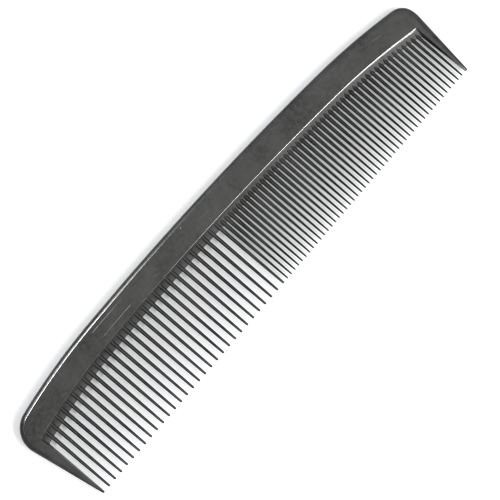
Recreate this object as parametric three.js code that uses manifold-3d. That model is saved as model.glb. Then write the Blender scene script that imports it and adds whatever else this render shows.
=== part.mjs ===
// A plain plastic dressing comb with coarse teeth at one end and fine teeth at the other.
//
// The comb is one moulding. It is divided here where its features meet: a spine, a guard tooth at
// each end, thirty coarse teeth, and forty-eight fine teeth that stay in twos, each two joined by
// the web between their roots.
//
// Millimetres. While the comb is drawn, X runs from the coarse end to the fine end, Y from the tips
// of the teeth (Y = 0) to the back, and Z is up from the plane half way through the thickness.
// The comb is the same above and below that plane.

import * as THREE from 'three';
import { mergeVertices } from 'three/addons/utils/BufferGeometryUtils.js';
import Module from 'manifold-3d';

const wasm = await Module();
wasm.setup();

// ---- Driving dimensions ----

// The back edge, walked from the coarse guard's tip, over the back, to the fine guard's tip.
const coarseTipX = -84.55;
const coarseLean = 10.1; // degrees that the coarse end's side leans outwards
const coarseSide = 25.1; // length of that side's straight
const backArcs = [
  { radius: 8.4, length: 13.3 }, // corner at the coarse end
  { radius: 223, length: 33.0 }, // end of the arch
  { radius: 1040, length: 103.6 }, // middle of the arch
  { radius: 223, length: 30.8 }, // end of the arch
  { radius: 5.4, length: 6.3 }, // corner at the fine end
  { radius: 10.9, length: 3.3 }, // the corner eases into the fine end's straight side
];
const coarseEndArc = 1;
const middleArc = 2;
const fineEndArc = 3;

// The spine. Its face and the roots of the teeth run parallel to the back.
const spineThickness = 4.4;
const spineHalf = spineThickness / 2;
const backBevel = { start: 0.75, end: 1.6 }; // how far in from the edge the back's bevel runs
const bevelTilt = 20; // degrees
const faceWidth = 8.45; // from the back edge to where the face ends
const spineWidth = 11.5; // from the back edge to the ends of the gaps

// The bevel along the face's edge above the teeth, and the half thickness of the web at the end of
// a gap. Both grow along X towards the fine end.
const edgeBevel = { coarse: 0.05, fine: 0.7 };
const webHalf = { coarse: 0.22, fine: 0.72 };
const growthFromX = -30;
const growthToX = 85;

// The teeth: their width at the tip and how much it grows per millimetre towards the spine, their
// half thickness where they end inside the spine, and the share of their width that is flat on top.
const coarseTooth = {
  count: 30,
  firstX: -81.62,
  pitch: 2.82,
  tipWidth: 0.77,
  widening: 0.0205,
  rootHalf: 2.1,
  ridgeShare: 0.36,
};
const fineTooth = {
  count: 48,
  firstX: 2.07,
  pitch: 1.74,
  tipWidth: 0.53,
  widening: 0.032,
  rootHalf: 1.6,
  ridgeShare: 0.2,
};
const toothTipHalf = 0.65; // half thickness at the tip
const toothChamfer = 0.5; // height of the chamfer between a tooth's side and its flat top
const tipRounding = 0.45; // length of the rounded tip
const toothOverlap = 0.1; // how near to the end of the face a tooth runs up inside the spine
const rootStep = 0.3; // how far below the end of a gap a tooth leaves the spine
const pairWeb = 0.6; // height of the web that joins two fine teeth
const sideClearance = 0.02; // how far a pair's cut stands off its outer flanks
const cutDepth = 60; // a cutting block reaches this far down along the teeth, past their tips
const cutThickness = 12; // and clears the comb above and below

// The guard teeth: X of the inner edge at the tip, its lean inwards, and its bevel at the root.
const coarseGuard = { innerX: -83.8, innerLean: 0, bevel: 0.5, rootDrop: 0.4 };
const fineGuard = { innerX: 85.36, innerLean: -0.038, bevel: 0.85, rootDrop: 0.4 };
const guardTipHalf = 0.9; // half thickness at a guard's tip

// ---- Helpers ----

const radians = THREE.MathUtils.degToRad;

// A closed solid skinned over a row of rings, which all have the same number of points.
// The rings turn anticlockwise when seen from the far end of the row.
function skin(rings, flatten) {
  const count = rings[0].length;
  const points = rings.flat();
  const triangles = [];
  for (let ring = 0; ring < rings.length - 1; ring++) {
    for (let i = 0; i < count; i++) {
      const a = ring * count + i;
      const b = ring * count + ((i + 1) % count);
      triangles.push(a, b, b + count, a, b + count, a + count);
    }
  }
  const last = (rings.length - 1) * count;
  for (const [a, b, c] of THREE.ShapeUtils.triangulateShape(rings[0].map(flatten), [])) {
    triangles.push(c, b, a);
  }
  for (const [a, b, c] of THREE.ShapeUtils.triangulateShape(rings.at(-1).map(flatten), [])) {
    triangles.push(last + a, last + b, last + c);
  }
  return new THREE.BufferGeometry().setFromPoints(points).setIndex(triangles);
}

const flattenAlongZ = (point) => new THREE.Vector2(point.x, point.y);
const flattenAlongY = (point) => new THREE.Vector2(point.z, point.x);

function toSolid(geometry) {
  const bare = geometry.clone();
  bare.deleteAttribute('normal');
  bare.deleteAttribute('uv');
  const merged = mergeVertices(bare);
  return new wasm.Manifold(
    new wasm.Mesh({
      numProp: 3,
      vertProperties: merged.getAttribute('position').array,
      triVerts: new Uint32Array(merged.index.array),
    }),
  );
}

function toGeometry(solid) {
  const mesh = solid.getMesh();
  const geometry = new THREE.BufferGeometry();
  geometry.setAttribute('position', new THREE.BufferAttribute(mesh.vertProperties, 3));
  geometry.setIndex(new THREE.BufferAttribute(mesh.triVerts, 1));
  return geometry;
}

// A cutting block below a level, between two places along the comb.
function blockBelow(level, fromX, toX) {
  const block = new THREE.BoxGeometry(toX - fromX, cutDepth, cutThickness);
  block.translate((fromX + toX) / 2, level - cutDepth / 2, 0);
  return toSolid(block);
}

// ---- The back edge and the lines parallel to it ----

// Where each arc of the back has its centre, and the heading at which it begins.
function layOutArcs() {
  let heading = radians(90 + coarseLean);
  let x = coarseTipX + Math.cos(heading) * coarseSide;
  let y = Math.sin(heading) * coarseSide;
  return backArcs.map(({ radius, length }) => {
    const turn = length / radius;
    const centreX = x + radius * Math.sin(heading);
    const centreY = y - radius * Math.cos(heading);
    const arc = { centreX, centreY, radius, start: heading, turn };
    heading -= turn;
    x = centreX - radius * Math.sin(heading);
    y = centreY + radius * Math.cos(heading);
    return arc;
  });
}

const arcs = layOutArcs();

// A point on one of the arcs, a share of the way along it, set in from the edge.
function onArc(arc, share, inset) {
  const heading = arc.start - arc.turn * share;
  const reach = arc.radius - inset;
  return [arc.centreX - reach * Math.sin(heading), arc.centreY + reach * Math.cos(heading)];
}

// The fine end's straight side carries on from the last arc to its guard's tip.
const lastArc = arcs.at(-1);
const coarseSlope = Math.tan(radians(coarseLean));
const fineSlope = Math.tan(-lastArc.start + lastArc.turn - Math.PI / 2);
const [fineSideTopX, fineSideTopY] = onArc(lastArc, 1, 0);
const fineTipX = fineSideTopX - fineSideTopY * fineSlope;

// The X of the two straight sides at a level.
const coarseSideX = (y, inset) => coarseTipX - y * coarseSlope + inset;
const fineSideX = (y, inset) => fineTipX + y * fineSlope - inset;

// The Y of the line that runs parallel to the back, set in from it.
function parallelY(x, inset) {
  const middleFrom = onArc(arcs[middleArc], 0, inset)[0];
  const middleTo = onArc(arcs[middleArc], 1, inset)[0];
  let arc = arcs[middleArc];
  if (x < middleFrom) arc = arcs[coarseEndArc];
  if (x > middleTo) arc = arcs[fineEndArc];
  return arc.centreY + Math.sqrt((arc.radius - inset) ** 2 - (x - arc.centreX) ** 2);
}

const rootY = (x) => parallelY(x, spineWidth);
const guardInnerX = (guard, y) => guard.innerX + guard.innerLean * y;

const guardRootY = (guard) => rootY(guard.innerX) - guard.rootDrop;

// ---- The spine without its teeth ----

const bevelSlope = Math.tan(radians(bevelTilt));

// The back, and the guards' outer sides: a rounded side and a bevel up to the face, as distances in
// from the edge and heights above the middle plane.
const sideSteps = 2;

function backProfile() {
  const { start, end } = backBevel;
  const bevelZ = spineHalf - (end - start) * bevelSlope;
  const side = new THREE.QuadraticBezierCurve(
    new THREE.Vector2(0, 0),
    new THREE.Vector2(0, bevelZ - start * bevelSlope),
    new THREE.Vector2(start, bevelZ),
  );
  const points = [...side.getPoints(sideSteps), new THREE.Vector2(end, spineHalf)];
  return points.map(({ x, y }) => [x, y]);
}

const backPoints = backProfile();
const topLevel = backPoints.length - 1;

// The side of the teeth at an X: the edge of the web, the land and a bevel up to the face.
function landProfile(x) {
  const along = THREE.MathUtils.clamp(x, growthFromX, growthToX);
  const share = THREE.MathUtils.inverseLerp(growthFromX, growthToX, along);
  const bevel = THREE.MathUtils.lerp(edgeBevel.coarse, edgeBevel.fine, share);
  const web = THREE.MathUtils.lerp(webHalf.coarse, webHalf.fine, share);
  const bevelZ = spineHalf - bevel * bevelSlope;
  return [[spineWidth, 0], [spineWidth, web], [faceWidth + bevel, bevelZ], [faceWidth, spineHalf]];
}

// How many straight steps each arc of the back, and the land from end to end, is drawn in.
const arcSteps = [16, 6, 12, 6, 14, 5];
const landSteps = 30;

// Where a guard's bevelled inner side meets its root, at one level of the land.
function guardCorner(guard, level) {
  const root = guardRootY(guard);
  const inner = guardInnerX(guard, root);
  const [, z] = landProfile(inner)[level];
  return { x: inner + (Math.sign(inner) * guard.bevel * z) / spineHalf, y: root, z };
}

// The spine's outline at a level of its profiles, where a negative level is below the middle.
function spineRing(level) {
  const side = Math.sign(level);
  const height = Math.abs(level);
  const [inset, backZ] = backPoints[height];
  const coarse = guardCorner(coarseGuard, height);
  const fine = guardCorner(fineGuard, height);
  const outline = [[coarseSideX(coarse.y, inset), coarse.y, backZ]];
  arcs.forEach((arc, index) => {
    for (let step = index ? 1 : 0; step <= arcSteps[index]; step++) {
      outline.push([...onArc(arc, step / arcSteps[index], inset), backZ]);
    }
  });
  outline.push([fineSideX(fine.y, inset), fine.y, backZ], [fine.x, fine.y, fine.z]);
  for (let step = 0; step <= landSteps; step++) {
    const x = THREE.MathUtils.lerp(fine.x, coarse.x, step / landSteps);
    const [landInset, landZ] = landProfile(x)[height];
    outline.push([x, parallelY(x, landInset), landZ]);
  }
  outline.push([coarse.x, coarse.y, coarse.z]);
  // The outline above runs clockwise, and a ring runs anticlockwise.
  return outline.reverse().map(([x, y, z]) => new THREE.Vector3(x, y, side * z));
}

function spineBlank() {
  const rings = [];
  for (let level = -topLevel; level <= topLevel; level++) rings.push(spineRing(level));
  return toSolid(skin(rings, flattenAlongZ));
}

// ---- Teeth ----

const toothWidth = (kind, y) => kind.tipWidth + kind.widening * y;
const toothX = (kind, index) => kind.firstX + kind.pitch * index;

// The level at which a tooth ends inside the spine.
const toothEndY = (kind, index) => parallelY(toothX(kind, index), faceWidth + toothOverlap);

// An eight-sided section: upright sides, with a chamfer and a flat ridge above and below.
function toothRing(kind, thickening, y, size) {
  const half = toothWidth(kind, y) / 2;
  const ridge = half * kind.ridgeShare;
  const top = toothTipHalf + thickening * y;
  const shoulder = top - toothChamfer;
  const left = [[-top, -ridge], [-shoulder, -half], [shoulder, -half], [top, -ridge]];
  const right = left.map(([z, x]) => [z, -x]).reverse();
  return [...left, ...right].map(([z, x]) => new THREE.Vector3(x * size, y, z * size));
}

// A rounded tip: how much of the full section there is at each step of its length.
const tipSteps = [
  { along: 0, size: 0.45 },
  { along: 0.3, size: 0.82 },
  { along: 1, size: 1 },
];

// A tooth from its rounded tip up to a level, centred on X = 0.
function toothGeometry(kind, index, level) {
  const thickening = (kind.rootHalf - toothTipHalf) / toothEndY(kind, index);
  const ringAt = (y, size) => toothRing(kind, thickening, y, size);
  const rings = tipSteps.map(({ along, size }) => ringAt(along * tipRounding, size));
  return skin([...rings, ringAt(level, 1)], flattenAlongY);
}

// A tooth that runs on up into the spine.
function embeddedTooth(kind, index) {
  const geometry = toothGeometry(kind, index, toothEndY(kind, index));
  return toSolid(geometry.translate(toothX(kind, index), 0, 0));
}

// Where a coarse tooth leaves the spine.
function coarseRootY(index) {
  const x = toothX(coarseTooth, index);
  const reach = coarseTooth.pitch / 2;
  return Math.min(rootY(x - reach), rootY(x + reach)) - rootStep;
}

// The block that holds a pair of fine teeth and the web between them.
function pairBlock(pair) {
  const firstX = toothX(fineTooth, 2 * pair);
  const secondX = toothX(fineTooth, 2 * pair + 1);
  const level = rootY((firstX + secondX) / 2) + pairWeb;
  const half = toothWidth(fineTooth, level) / 2 + sideClearance;
  return blockBelow(level, firstX - half, secondX + half);
}

// ---- Guards ----

// A guard's section: rounded on its outer side, bevelled on its inner side, flat above and below.
function guardRing(outerX, innerX, rootWidth, bevel, y, half) {
  const inwards = Math.sign(innerX - outerX);
  const scale = Math.abs(innerX - outerX) / rootWidth;
  const outerSide = backPoints.map(([inset, z]) => {
    return [(z / spineHalf) * half, outerX + inwards * inset * scale];
  });
  const above = [...outerSide, [half, innerX - inwards * bevel * scale], [0, innerX]];
  const below = above.slice(1, -1).reverse().map(([z, x]) => [-z, x]);
  const ring = [...above, ...below].map(([z, x]) => new THREE.Vector3(x, y, z));
  return inwards > 0 ? ring : ring.reverse();
}

function guardGeometry(guard, outerAt) {
  const root = guardRootY(guard);
  const rootWidth = Math.abs(guardInnerX(guard, root) - outerAt(root, 0));
  const ringAt = (y, size) => {
    const outer = outerAt(y, 0);
    const inner = guardInnerX(guard, y);
    const trim = ((1 - size) * (inner - outer)) / 2;
    const half = THREE.MathUtils.lerp(guardTipHalf, spineHalf, y / root) * size;
    return guardRing(outer + trim, inner - trim, rootWidth, guard.bevel, y, half);
  };
  const rings = tipSteps.map(({ along, size }) => ringAt(along * tipRounding, size));
  rings.push(ringAt(root, 1));
  return skin(rings, flattenAlongY);
}

// ---- The comb ----

const plastic = () =>
  new THREE.MeshStandardMaterial({ color: 0x3a3b3a, roughness: 0.42, metalness: 0, flatShading: true });

const comb = new THREE.Group();

function addPart(name, geometry, x = 0) {
  const mesh = new THREE.Mesh(geometry, plastic());
  mesh.name = name;
  mesh.position.x = x;
  comb.add(mesh);
}

const numbered = (name, index) => `${name}_${String(index + 1).padStart(2, '0')}`;

// The spine with its teeth, which is then divided.
let moulding = spineBlank();
for (const kind of [coarseTooth, fineTooth]) {
  for (let index = 0; index < kind.count; index++) {
    moulding = moulding.add(embeddedTooth(kind, index));
  }
}

for (let index = 0; index < coarseTooth.count; index++) {
  const x = toothX(coarseTooth, index);
  const reach = coarseTooth.pitch / 2;
  const level = coarseRootY(index);
  moulding = moulding.subtract(blockBelow(level, x - reach, x + reach));
  addPart(numbered('coarse_tooth', index), toothGeometry(coarseTooth, index, level), x);
}

for (let pair = 0; pair < fineTooth.count / 2; pair++) {
  const block = pairBlock(pair);
  addPart(numbered('fine_tooth_pair', pair), toGeometry(moulding.intersect(block)));
  moulding = moulding.subtract(block);
}

addPart('spine', toGeometry(moulding));
addPart('coarse_end_guard', guardGeometry(coarseGuard, coarseSideX));
addPart('fine_end_guard', guardGeometry(fineGuard, fineSideX));

// The comb lies flat on its underside, centred on the origin.
const extent = new THREE.Box3().setFromObject(comb);
comb.position.set(
  -(extent.min.x + extent.max.x) / 2,
  -(extent.min.y + extent.max.y) / 2,
  -extent.min.z,
);

export default comb;
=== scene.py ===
"""A plain black plastic dressing comb, lying flat on a pale surface under soft studio lights.

The comb is one moulding. It is built here as a spine, a guard tooth at each end, thirty coarse
teeth and forty-eight fine teeth. The frame has the same divisions, with the fine teeth in twos.

Shapes are worked out in millimetres. X runs along the comb as in the frame, Y is counted from the
tips of the teeth towards the back, and Z from the plane half way through the thickness.
"""

import math

import bmesh
import bpy
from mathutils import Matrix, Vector


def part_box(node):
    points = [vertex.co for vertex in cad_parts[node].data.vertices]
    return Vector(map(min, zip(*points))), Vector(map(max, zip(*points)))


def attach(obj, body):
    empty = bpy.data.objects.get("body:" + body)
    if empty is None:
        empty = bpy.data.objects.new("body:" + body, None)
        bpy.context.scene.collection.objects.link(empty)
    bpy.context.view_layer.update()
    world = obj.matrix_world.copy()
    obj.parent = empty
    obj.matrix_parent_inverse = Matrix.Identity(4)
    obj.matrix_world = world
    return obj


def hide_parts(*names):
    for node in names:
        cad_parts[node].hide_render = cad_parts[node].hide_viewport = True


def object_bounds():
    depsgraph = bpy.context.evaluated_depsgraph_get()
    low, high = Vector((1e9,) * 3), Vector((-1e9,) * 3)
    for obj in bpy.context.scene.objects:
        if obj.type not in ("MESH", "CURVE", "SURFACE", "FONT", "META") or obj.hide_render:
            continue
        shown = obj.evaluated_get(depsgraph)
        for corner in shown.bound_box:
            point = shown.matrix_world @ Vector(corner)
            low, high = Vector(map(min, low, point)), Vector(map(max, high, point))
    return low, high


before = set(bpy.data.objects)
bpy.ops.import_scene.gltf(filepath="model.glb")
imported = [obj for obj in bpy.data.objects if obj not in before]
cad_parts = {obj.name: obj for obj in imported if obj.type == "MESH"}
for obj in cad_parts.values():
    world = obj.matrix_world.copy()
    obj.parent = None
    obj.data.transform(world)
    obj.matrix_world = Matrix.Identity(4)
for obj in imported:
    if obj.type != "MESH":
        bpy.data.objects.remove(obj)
cad_low, cad_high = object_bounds()

MM = 0.001

# ---- The comb's driving dimensions, in millimetres ----

spine_half = (cad_high.z - cad_low.z) / 2 / MM

# The back edge, walked from the coarse end to the fine end as (radius, length) of each arc.
coarse_lean = math.radians(10.1)  # how far the coarse end's side leans outwards
coarse_side = 25.1  # length of that side's straight
back_arcs = [(8.4, 13.3), (223, 33.0), (1040, 103.6), (223, 30.8), (5.4, 6.3), (10.9, 3.3)]
arc_steps = [24, 16, 36, 16, 20, 10]  # how many straight steps each arc is drawn in
coarse_end_arc, middle_arc, fine_end_arc = 1, 2, 3

# Across the spine, from the back edge to the ends of the gaps between the teeth.
back_bevel = (0.75, 1.6)  # where the bevel next to the back edge starts and where it meets the face
face_width = 8.45  # where the face meets the bevel above the teeth
spine_width = 11.5  # where the gaps end
bevel_tilt = math.radians(20)
bevel_blend = 0.12  # how far the corner of a bevel with the face is rounded, to each side
blend_steps = 4
profile_steps = 14  # levels from the middle plane up to the face

# The land between the face and the gaps: its bevel's width, its slope in degrees below the bevel
# and at the gap, and half its thickness at the gap. It changes from one kind to the other along X.
coarse_land = {"bevel": 0.01, "upper_slope": 38, "lower_slope": 31, "web_half": 0.22}
fine_land = {"bevel": 0.7, "upper_slope": 25, "lower_slope": 30, "web_half": 0.72}
land_changes = (-30, 85)  # between these two X
land_columns = 130

# The teeth: their width at the tip and its growth per millimetre towards the spine, half their
# thickness at the root, and the share of their width that is a flat ridge.
coarse_tooth = {"count": 30, "tip_width": 0.77, "widening": 0.0205, "root_half": 2.1, "ridge": 0.36}
fine_tooth = {"count": 48, "tip_width": 0.53, "widening": 0.032, "root_half": 1.6, "ridge": 0.2}
fine_pitch = 1.74  # between the two teeth of a pair
tooth_tip_half = 0.65  # half thickness at the tip
wall_draft = 0.94  # a tooth's width at its shoulders, as a share of its full width
tooth_chamfer_height = 0.5  # from a tooth's shoulders up to its ridge
tooth_edge_rounding = 0.14
edge_steps = 3
widest_rounding = 0.45  # the most of a side that the rounding at each of its ends may take
tip_rounding = 0.45  # length of a rounded tip
tip_steps = 6
length_shares = (0.25, 0.5, 0.75, 1)  # where the sections above a tip stand along a tooth
tooth_overlap = 0.1  # how near to the face's edge a tooth runs up inside the spine
sharp_turn = math.radians(35)  # edges that turn by more than this are left sharp
flat_normal = 0.998  # faces whose normal is at least this upright are shaded flat

# The guard teeth, which thin out below a crease that runs outwards from the end of the face's edge.
# The inner edge of each leans by X per Y, and has a bevel that is this wide at the root.
coarse_guard = {"node": "coarse_end_guard", "side": -1, "lean": 0.0, "bevel": 0.5}
fine_guard = {"node": "fine_end_guard", "side": 1, "lean": -0.038, "bevel": 0.85}
guard_tip_half = 0.9
crease_inset = 0.4  # how far below the end of the face's edge the crease starts
crease_slope = 0.7  # Y per X
crease_fade = 1.5  # how far past the crease's inner end the thinning fades away
inner_corner = 0.5  # rounding where a guard's inner edge meets the land
inner_corner_steps = 6

# The thin outline that a mould insert leaves on the face: centre, length, width and depth.
insert_centre = (-42.3, 33.0)
insert_size = (14.3, 3.4)
insert_line_width = 0.1
insert_line_depth = 0.0163
insert_corner = 0.5
insert_corner_steps = 5

# ---- Camera ----

camera_height = 1.0  # metres above the surface
view_width = 0.1529  # metres across the picture at the comb's middle plane
view_centre = Vector((0.0011, -0.00424, 0.0))
comb_turn = math.radians(49.36)  # how far the comb's length is turned in the picture
picture_right = Vector((math.cos(comb_turn), -math.sin(comb_turn), 0))
picture_up = Vector((math.sin(comb_turn), math.cos(comb_turn), 0))


def make_camera():
    data = bpy.data.cameras.new("camera")
    middle = spine_half * MM
    data.sensor_width = 36
    data.lens = data.sensor_width * (camera_height - middle) / view_width
    camera = bpy.data.objects.new("camera", data)
    camera.location = view_centre + Vector((0, 0, camera_height))
    camera.rotation_euler = (0, 0, -comb_turn)
    bpy.context.scene.collection.objects.link(camera)
    bpy.context.scene.camera = camera


# ---- Floor and lights ----

floor_reach = 4  # metres from the comb to the floor's edges
floor_colour = (0.73, 0.74, 0.75, 1)
floor_glow = 0.15  # a backlit card's own light, which leaves it white around the comb

# Each light as its bearing and elevation in degrees, its distance and size in metres, and its
# radiance. A bearing is counted from +Y towards +X.
lights = {
    "softbox_right": (173, 50, 1.0, (0.30, 0.10), 42),  # the bright edge between face and teeth
    "softbox_left": (-19, 50, 1.0, (0.30, 0.09), 54),  # the bright line along the back's bevel
    "corner_card": (-48, 50, 1.0, (0.40, 0.08), 9),  # carries that line round the coarse corner
    "low_card": (165, 36, 1.2, (1.1, 0.28), 2.4),  # the slope between the roots of the teeth
    "side_softbox": (140, 53, 1.2, (0.48, 0.48), 10.7),  # the soft shadows of the teeth and the back
    "fine_end_card": (45, 50, 1.2, (1.6, 0.35), 0.55),  # the bevel towards the fine end
    "overhead_panel": (90, 60, 1.3, (1.6, 1.6), 0.25),  # fill
    "zenith_panel": (90, 84, 1.3, (0.95, 0.95), 0.6),  # the sheen on the face
}
room_light = 0.27  # radiance of everything around the lights


def make_floor():
    bm = bmesh.new()
    bmesh.ops.create_grid(bm, x_segments=1, y_segments=1, size=floor_reach)
    mesh = bpy.data.meshes.new("floor")
    bm.to_mesh(mesh)
    bm.free()
    floor = bpy.data.objects.new("floor", mesh)
    bpy.context.scene.collection.objects.link(floor)
    material = bpy.data.materials.new("pale_card")
    material.use_nodes = True
    shader = material.node_tree.nodes["Principled BSDF"]
    shader.inputs["Base Color"].default_value = floor_colour
    shader.inputs["Roughness"].default_value = 0.9
    shader.inputs["Specular IOR Level"].default_value = 0.2
    shader.inputs["Emission Color"].default_value = (0.98, 0.99, 1, 1)
    shader.inputs["Emission Strength"].default_value = floor_glow
    mesh.materials.append(material)


def add_softbox(name, bearing, elevation, distance, size, radiance):
    """A flat light that faces the comb."""
    width, height = size
    data = bpy.data.lights.new(name, "AREA")
    data.shape = "RECTANGLE"
    data.size, data.size_y = width, height
    data.energy = radiance * math.pi * width * height
    light = bpy.data.objects.new(name, data)
    turn, lift = math.radians(bearing), math.radians(elevation)
    level = Vector((math.sin(turn), math.cos(turn), 0))
    towards = level * math.cos(lift) + Vector((0, 0, math.sin(lift)))
    light.location = towards * distance
    light.rotation_euler = towards.to_track_quat("Z", "Y").to_euler()
    bpy.context.scene.collection.objects.link(light)


def make_lights():
    for name, (bearing, elevation, distance, size, radiance) in lights.items():
        add_softbox(name, bearing, elevation, distance, size, radiance)
    world = bpy.data.worlds.new("studio")
    world.use_nodes = True
    background = world.node_tree.nodes["Background"]
    background.inputs["Color"].default_value = (1, 1, 1, 1)
    background.inputs["Strength"].default_value = room_light
    bpy.context.scene.world = world
    bpy.context.scene.view_settings.view_transform = "Standard"
    bpy.context.scene.cycles.filter_width = 1.0


# ---- Plastic ----

plastic_dark = (0.006, 0.0061, 0.0059, 1)
plastic_light = (0.036, 0.0364, 0.0346, 1)
scratch_colour = (0.2, 0.2, 0.2, 1)
dust_colour = (0.45, 0.45, 0.44, 1)
roughness_range = (0.14, 0.21)
scratch_roughness = 0.2
blotch_share, scratch_share, dust_share = 0.6, 0.4, 0.5  # how much of each shows at the most

# How many features there are to a metre.
cloud_scale = 110
blotch_scale = 700
wave_scale = 160
grain_scale = 5200
speck_scale = 210.0
dust_patch_scale = 60
scratch_patch_scale = 85
scratch_scale = (90, 3800, 1)  # along a scratch, across it and through it

bump_strength = 0.5
wave_depth = 0.00005  # metres, of the face's faint waviness
grain_depth = 0.000004  # metres, of the moulded skin's grain


def new_node(tree, kind, inputs=None, **settings):
    """Adds a shader node. Its inputs are given as values or as the sockets to link to them."""
    node = tree.nodes.new(kind)
    for name, value in settings.items():
        setattr(node, name, value)
    for name, value in (inputs or {}).items():
        if isinstance(value, bpy.types.NodeSocket):
            tree.links.new(value, node.inputs[name])
        else:
            node.inputs[name].default_value = value
    return node


def ranged(tree, value, from_low, from_high, to_low=0.0, to_high=1.0):
    """A value stretched, and clamped, from one range to another."""
    limits = {"From Min": from_low, "From Max": from_high, "To Min": to_low, "To Max": to_high}
    return new_node(tree, "ShaderNodeMapRange", {"Value": value, **limits}).outputs["Result"]


def noise(tree, place, scale, detail=2.0, roughness=0.5):
    """Soft noise between 0 and 1, with its scale counted per metre."""
    inputs = {"Vector": place, "Scale": scale, "Detail": detail, "Roughness": roughness}
    return new_node(tree, "ShaderNodeTexNoise", inputs).outputs["Fac"]


def multiply(tree, *values):
    """The product of two or more values."""
    product = values[0]
    for value in values[1:]:
        product = new_node(tree, "ShaderNodeMath", {0: product, 1: value}, operation="MULTIPLY").outputs[0]
    return product


def mix_colour(tree, share, below, above):
    """A blend of two colours. A Mix node's colours are its inputs 6 and 7 and its output 2."""
    inputs = {0: share, 6: below, 7: above}
    return new_node(tree, "ShaderNodeMix", inputs, data_type="RGBA").outputs[2]


def hairlines(tree, place, turn, seed):
    """Sparse fine scratches that run at an angle to the comb's length."""
    turned = new_node(
        tree, "ShaderNodeMapping",
        {"Vector": place, "Rotation": (0, 0, math.radians(turn)), "Location": (seed, seed, 0)},
    )
    stretched = new_node(tree, "ShaderNodeMapping", {
        "Vector": turned.outputs[0], "Scale": scratch_scale,
    })
    streaks = ranged(tree, noise(tree, stretched.outputs[0], 1.0, 1.0), 0.70, 0.80)
    patches = ranged(tree, noise(tree, turned.outputs[0], scratch_patch_scale), 0.50, 0.62)
    return multiply(tree, streaks, patches)


def make_plastic():
    """Satin black plastic with a mottled colour, hairline scratches, dust and a moulded skin."""
    material = bpy.data.materials.new("satin_black_plastic")
    material.use_nodes = True
    tree = material.node_tree
    shader = tree.nodes["Principled BSDF"]
    place = new_node(tree, "ShaderNodeTexCoord").outputs["Object"]

    clouds = noise(tree, place, cloud_scale, 3.0, 0.6)
    blotches = noise(tree, place, blotch_scale, 4.0, 0.65)
    grain = noise(tree, place, grain_scale, 1.0)
    colour = mix_colour(tree, ranged(tree, clouds, 0.3, 0.7), plastic_dark, plastic_light)
    blotched = ranged(tree, blotches, 0.35, 0.65, 0.0, blotch_share)
    colour = mix_colour(tree, blotched, colour, plastic_light)
    scratches = new_node(tree, "ShaderNodeMath", {
        0: hairlines(tree, place, 14, 0.0),  # the two sets cross
        1: hairlines(tree, place, -52, 0.4),
    }, operation="MAXIMUM").outputs[0]
    colour = mix_colour(tree, multiply(tree, scratches, scratch_share), colour, scratch_colour)
    specks = new_node(tree, "ShaderNodeTexVoronoi", {"Vector": place, "Scale": speck_scale})
    dust = multiply(
        tree,
        ranged(tree, specks.outputs["Distance"], 0.05, 0.02),
        ranged(tree, noise(tree, place, dust_patch_scale), 0.52, 0.57),
    )
    colour = mix_colour(tree, multiply(tree, dust, dust_share), colour, dust_colour)
    tree.links.new(colour, shader.inputs["Base Color"])

    sheen_breaks = ranged(tree, blotches, 0.3, 0.7, *roughness_range)
    scuffs = multiply(tree, scratches, scratch_roughness)
    roughness = new_node(tree, "ShaderNodeMath", {0: sheen_breaks, 1: scuffs})
    tree.links.new(roughness.outputs[0], shader.inputs["Roughness"])

    waves = new_node(tree, "ShaderNodeBump", {
        "Height": noise(tree, place, wave_scale),
        "Strength": bump_strength,
        "Distance": wave_depth,
    })
    skin = new_node(tree, "ShaderNodeBump", {
        "Height": grain,
        "Strength": bump_strength,
        "Distance": grain_depth,
        "Normal": waves.outputs["Normal"],
    })
    tree.links.new(skin.outputs["Normal"], shader.inputs["Normal"])
    return material


plastic = make_plastic()

# ---- Outlines ----


def lay_out_arcs(start_x):
    """Where each arc of the back has its centre, and the headings between which it runs."""
    heading = math.pi / 2 + coarse_lean
    x = start_x + math.cos(heading) * coarse_side
    y = math.sin(heading) * coarse_side
    arcs = []
    for radius, length in back_arcs:
        centre = (x + radius * math.sin(heading), y - radius * math.cos(heading))
        end = heading - length / radius
        arcs.append({"centre": centre, "radius": radius, "start": heading, "end": end})
        heading = end
        x = centre[0] - radius * math.sin(heading)
        y = centre[1] + radius * math.cos(heading)
    return arcs


def on_arc(arc, share, inset=0.0):
    """A point a share of the way along an arc of the back, set in from the edge."""
    heading = arc["start"] + (arc["end"] - arc["start"]) * share
    reach = arc["radius"] - inset
    return (
        arc["centre"][0] - reach * math.sin(heading),
        arc["centre"][1] + reach * math.cos(heading),
    )


coarse_low, coarse_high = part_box(coarse_guard["node"])
coarse_tip_x = (coarse_low.x + (coarse_high.y - coarse_low.y) * math.tan(coarse_lean)) / MM
arcs = lay_out_arcs(coarse_tip_x)
fine_lean = -arcs[-1]["end"] - math.pi / 2
fine_side_top = on_arc(arcs[-1], 1)
fine_tip_x = fine_side_top[0] - fine_side_top[1] * math.tan(fine_lean)


def parallel_y(x, inset):
    """The Y of the line that runs parallel to the back, set in from it."""
    arc = arcs[middle_arc]
    if x < on_arc(arcs[middle_arc], 0, inset)[0]:
        arc = arcs[coarse_end_arc]
    if x > on_arc(arcs[middle_arc], 1, inset)[0]:
        arc = arcs[fine_end_arc]
    return arc["centre"][1] + math.sqrt((arc["radius"] - inset) ** 2 - (x - arc["centre"][0]) ** 2)


def side_x(guard, y, inset=0.0):
    """The X of a guard's straight outer side."""
    if guard is coarse_guard:
        return coarse_tip_x - y * math.tan(coarse_lean) + inset
    return fine_tip_x + y * math.tan(fine_lean) - inset


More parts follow.
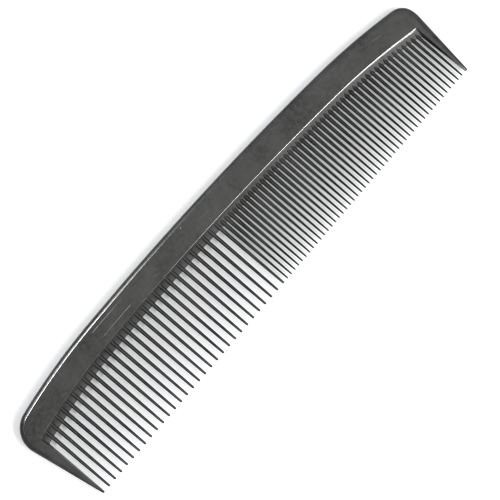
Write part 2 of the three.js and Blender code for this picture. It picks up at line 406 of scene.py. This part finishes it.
def set_up_guard(guard):
    """Reads a guard's root and inner edge from the frame, and works out its crease and taper."""
    low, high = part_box(guard["node"])
    guard["root"] = (high.y - low.y) / MM
    if guard is coarse_guard:
        guard["inner"] = high.x / MM
    else:
        guard["inner"] = low.x / MM - guard["lean"] * guard["root"]
    guard["root_inner"] = guard["inner"] + guard["lean"] * guard["root"]
    guard["root_width"] = abs(guard["root_inner"] - side_x(guard, guard["root"]))
    guard["crease_y"] = parallel_y(guard["root_inner"], face_width + crease_inset)
    tip_drop = guard["crease_y"] + crease_slope * abs(side_x(guard, 0) - guard["root_inner"])
    guard["thinning"] = (1 - guard_tip_half / spine_half) / tip_drop


for guard in (coarse_guard, fine_guard):
    set_up_guard(guard)


def smooth_step(value):
    value = min(1.0, max(0.0, value))
    return value * value * (3 - 2 * value)


def thinned(x, y, z):
    """Z after the thinning towards a guard's tip, which starts at the guard's crease."""
    guard = coarse_guard if x < 0 else fine_guard
    outwards = (x - guard["root_inner"]) * guard["side"]
    drop = guard["crease_y"] + crease_slope * outwards - y
    weight = smooth_step(1 + outwards / crease_fade)
    return z * (1 - guard["thinning"] * max(0.0, drop) * weight)


# ---- Profiles ----


def bezier(start, control, end, steps):
    """Points along a curve that leaves start and reaches end along its two tangents."""
    points = []
    for step in range(steps + 1):
        t = step / steps
        points.append(tuple(
            (1 - t) ** 2 * a + 2 * t * (1 - t) * b + t * t * c
            for a, b, c in zip(start, control, end)
        ))
    return points


def soft_corner(corner, side, blend):
    """The rounded corner between a bevel and the face, walked from the bevel on to the face."""
    bevel = (corner + side * blend, spine_half - blend * math.tan(bevel_tilt))
    return bezier(bevel, (corner, spine_half), (corner - side * blend, spine_half), blend_steps)


def back_profile(steps):
    """(inset, z) from the middle plane up to the face: a round side, a bevel and a soft corner."""
    slope = math.tan(bevel_tilt)
    bevel_start, corner = back_bevel
    start_z = spine_half - (corner - bevel_start) * slope
    side_steps = steps - blend_steps - 1
    side = bezier((0, 0), (0, start_z - bevel_start * slope), (bevel_start, start_z), side_steps)
    return side + soft_corner(corner, -1, bevel_blend)


def land_profile(steps, land):
    """(inset, z) from the end of a gap up to the face: a curved land, a bevel and a soft corner."""
    bevel_end = face_width + land["bevel"]
    bevel_z = spine_half - land["bevel"] * math.tan(bevel_tilt)
    across, down = spine_width - bevel_end, bevel_z - land["web_half"]
    upper = math.tan(math.radians(land["upper_slope"]))
    lower = math.tan(math.radians(land["lower_slope"]))
    # The tangents at the two ends of the curve meet this far out from its upper end.
    reach = (down - across * lower) / (upper - lower)
    meeting = (bevel_end + reach, bevel_z - reach * upper)
    curve_steps = steps - blend_steps - 2
    curve = bezier((spine_width, land["web_half"]), meeting, (bevel_end, bevel_z), curve_steps)
    blend = min(bevel_blend, land["bevel"] / 2)
    return [(spine_width, 0.0)] + curve + soft_corner(face_width, 1, blend)


back_points = back_profile(profile_steps)
coarse_land_points = land_profile(profile_steps, coarse_land)
fine_land_points = land_profile(profile_steps, fine_land)


def land_point(level, x):
    """(inset, z) at a level of the land's profile, which changes along the comb."""
    share = min(1, max(0, (x - land_changes[0]) / (land_changes[1] - land_changes[0])))
    ends = zip(coarse_land_points[level], fine_land_points[level])
    return tuple(a + (b - a) * share for a, b in ends)


# ---- Mesh helpers ----


def to_frame(x, y, z):
    return Vector((x * MM, cad_low.y + y * MM, cad_low.z + (spine_half + z) * MM))


def add_rings(bm, rings):
    """Joins rings of points, all with the same count, into a tube. Returns the rings' vertices."""
    made = [[bm.verts.new(point) for point in ring] for ring in rings]
    for below, above in zip(made, made[1:]):
        for i in range(len(below)):
            j = (i + 1) % len(below)
            face = bm.faces.new((below[i], below[j], above[j], above[i]))
            face.smooth = True
    return made


def make_piece(name, bm, *nodes):
    """Turns a bmesh into a piece of the comb that stands for CAD nodes."""
    bmesh.ops.recalc_face_normals(bm, faces=bm.faces)
    for edge in bm.edges:
        edge.smooth = edge.calc_face_angle(0) < sharp_turn
    mesh = bpy.data.meshes.new(name)
    bm.to_mesh(mesh)
    bm.free()
    mesh.materials.append(plastic)
    piece = bpy.data.objects.new(name, mesh)
    bpy.context.scene.collection.objects.link(piece)
    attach(piece, "root")
    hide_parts(*nodes)


# ---- Spine ----


def land_corner(guard, inset, z):
    """Where a guard's inner edge turns into the land, as a few points from the guard to the land."""
    side = guard["side"]
    edge = guard["root_inner"] + side * guard["bevel"] * z / spine_half
    land = parallel_y(edge, inset)
    reach = min(inner_corner, land - guard["root"])
    along = edge - side * reach
    start, turn, end = (edge, land - reach), (edge, land), (along, parallel_y(along, inset))
    return [(edge, guard["root"])] + bezier(start, turn, end, inner_corner_steps)


def spine_ring(level):
    """The spine's outline at one level of its profiles, clockwise from the coarse guard's root."""
    side = 1 if level >= 0 else -1
    back_inset, back_z = back_points[abs(level)]
    outline = [(side_x(coarse_guard, coarse_guard["root"], back_inset), coarse_guard["root"])]
    for index, arc in enumerate(arcs):
        for step in range(1 if index else 0, arc_steps[index] + 1):
            outline.append(on_arc(arc, step / arc_steps[index], back_inset))
    outline.append((side_x(fine_guard, fine_guard["root"], back_inset), fine_guard["root"]))
    ring = [(x, y, side * back_z) for x, y in outline]
    fine_inset, fine_z = fine_land_points[abs(level)]
    coarse_inset, coarse_z = coarse_land_points[abs(level)]
    fine_corner = land_corner(fine_guard, fine_inset, fine_z)
    coarse_corner = land_corner(coarse_guard, coarse_inset, coarse_z)[::-1]
    ring += [(x, y, side * fine_z) for x, y in fine_corner]
    from_x, to_x = fine_corner[-1][0], coarse_corner[0][0]
    for column in range(1, land_columns):
        x = from_x + (to_x - from_x) * column / land_columns
        inset, z = land_point(abs(level), x)
        ring.append((x, parallel_y(x, inset), side * z))
    ring += [(x, y, side * coarse_z) for x, y in coarse_corner]
    return ring


def rounded_rectangle(centre, size, corner):
    """Points round a rectangle with round corners, anticlockwise."""
    points = []
    half_x, half_y = size[0] / 2 - corner, size[1] / 2 - corner
    for quarter, (sx, sy) in enumerate(((1, 1), (-1, 1), (-1, -1), (1, -1))):
        for step in range(insert_corner_steps + 1):
            turn = math.pi / 2 * (quarter + step / insert_corner_steps)
            points.append((
                centre[0] + sx * half_x + corner * math.cos(turn),
                centre[1] + sy * half_y + corner * math.sin(turn),
            ))
    return points


def fill_face(bm, loops):
    """Fills the flat area bounded by loops of vertices."""
    edges = []
    for loop in loops:
        for a, b in zip(loop, loop[1:] + loop[:1]):
            edges.append(bm.edges.get((a, b)) or bm.edges.new((a, b)))
    made = bmesh.ops.triangle_fill(bm, use_beauty=True, use_dissolve=False, edges=edges)
    for item in made["geom"]:
        if isinstance(item, bmesh.types.BMFace):
            item.smooth = False


def make_spine():
    bm = bmesh.new()
    levels = range(-profile_steps, profile_steps + 1)
    rings = add_rings(bm, [spine_ring(level) for level in levels])
    line_loops = []
    for grow, depth in ((0, 0), (-1, insert_line_depth), (-2, 0)):
        size = [length + grow * insert_line_width for length in insert_size]
        corner = insert_corner + grow * insert_line_width / 2
        outline = rounded_rectangle(insert_centre, size, corner)
        line_loops.append([(x, y, spine_half - depth) for x, y in outline])
    line_rings = add_rings(bm, line_loops)
    fill_face(bm, [rings[-1], line_rings[0]])
    fill_face(bm, [line_rings[-1]])
    fill_face(bm, [rings[0]])
    for guard in (coarse_guard, fine_guard):
        side = guard["side"]
        bmesh.ops.bisect_plane(
            bm,
            geom=bm.verts[:] + bm.edges[:] + bm.faces[:],
            plane_co=(guard["root_inner"], guard["crease_y"], 0),
            plane_no=(-side * crease_slope, 1, 0),
        )
    for vert in bm.verts:
        x, y, z = vert.co
        vert.co = to_frame(x, y, thinned(x, y, z))
    make_piece("moulded_spine", bm, "spine")


# ---- Guards ----


def guard_ring(guard, y, size):
    """A guard's section at a height, shrunk for the rounded tip."""
    side = guard["side"]
    outer = side_x(guard, y)
    inner = guard["inner"] + guard["lean"] * y
    scale = abs(inner - outer) / guard["root_width"]
    middle = (inner + outer) / 2
    land = coarse_land_points if guard is coarse_guard else fine_land_points
    outer_side = [(outer - side * inset * scale, z) for inset, z in back_points]
    inner_side = [
        (inner + side * guard["bevel"] * z / spine_half * scale, z) for _, z in land
    ]
    upper = outer_side + inner_side[::-1]
    lower = [(x, -z) for x, z in inner_side[1:] + outer_side[::-1][:-1]]
    ring = []
    for x, z in upper + lower:
        ring.append(to_frame(middle + (x - middle) * size, y, thinned(x, y, z) * size))
    return ring


def tip_rings():
    """(distance from the tip, share of the full section) down the rounding of a tooth's tip."""
    rings = []
    for step in range(1, tip_steps + 1):
        turn = math.pi / 2 * step / tip_steps
        rings.append((tip_rounding * (1 - math.cos(turn)), math.sin(turn)))
    return rings


def make_guard(guard, name):
    bm = bmesh.new()
    heights = tip_rings() + [(guard["root"] * share, 1) for share in length_shares]
    rings = add_rings(bm, [guard_ring(guard, y, size) for y, size in heights])
    bm.faces.new(rings[0])
    bm.faces.new(rings[-1])
    for face in bm.faces:
        face.normal_update()
        face.smooth = face.smooth and abs(face.normal.z) < flat_normal
    make_piece(name, bm, guard["node"])


# ---- Teeth ----


def tooth_section(kind, y, root, size):
    """A tooth's ten-sided section with its corners rounded, as (x, z)."""
    half = (kind["tip_width"] + kind["widening"] * y) / 2
    ridge = half * kind["ridge"]
    top = tooth_tip_half + (kind["root_half"] - tooth_tip_half) * y / root
    shoulder = top - tooth_chamfer_height
    right = [(half, 0), (half * wall_draft, shoulder), (ridge, top)]
    upper = right + [(-x, z) for x, z in right[::-1]]
    corners = upper + [(x, -z) for x, z in upper[-2:0:-1]]
    points = []
    for i, corner in enumerate(corners):
        before, after = corners[i - 1], corners[(i + 1) % len(corners)]
        ends = []
        for other in (before, after):
            share = min(widest_rounding, tooth_edge_rounding / math.dist(corner, other))
            ends.append([c + (o - c) * share for c, o in zip(corner, other)])
        points += bezier(ends[0], corner, ends[1], edge_steps)
    return [(x * size, z * size) for x, z in points]


def make_tooth(name, kind, x, node):
    bm = bmesh.new()
    root = parallel_y(x, face_width + tooth_overlap)
    heights = tip_rings() + [(root * share, 1) for share in length_shares]
    rings = []
    for y, size in heights:
        section = tooth_section(kind, y, root, size)
        rings.append([to_frame(x + dx, y, z) for dx, z in section])
    made = add_rings(bm, rings)
    bm.faces.new(made[0])
    bm.faces.new(made[-1])
    make_piece(name, bm, node)


def centre_x(node):
    low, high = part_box(node)
    return (low.x + high.x) / 2 / MM


def make_teeth():
    for number in range(1, coarse_tooth["count"] + 1):
        node = f"coarse_tooth_{number:02d}"
        make_tooth(f"moulded_{node}", coarse_tooth, centre_x(node), node)
    for pair in range(1, fine_tooth["count"] // 2 + 1):
        node = f"fine_tooth_pair_{pair:02d}"
        for offset in (0, 1):
            x = centre_x(node) + (offset - 0.5) * fine_pitch
            make_tooth(f"moulded_fine_tooth_{2 * pair - 1 + offset:02d}", fine_tooth, x, node)


# ---- The scene ----

make_camera()
make_floor()
make_lights()
make_spine()
make_guard(coarse_guard, "moulded_coarse_guard")
make_guard(fine_guard, "moulded_fine_guard")
make_teeth()
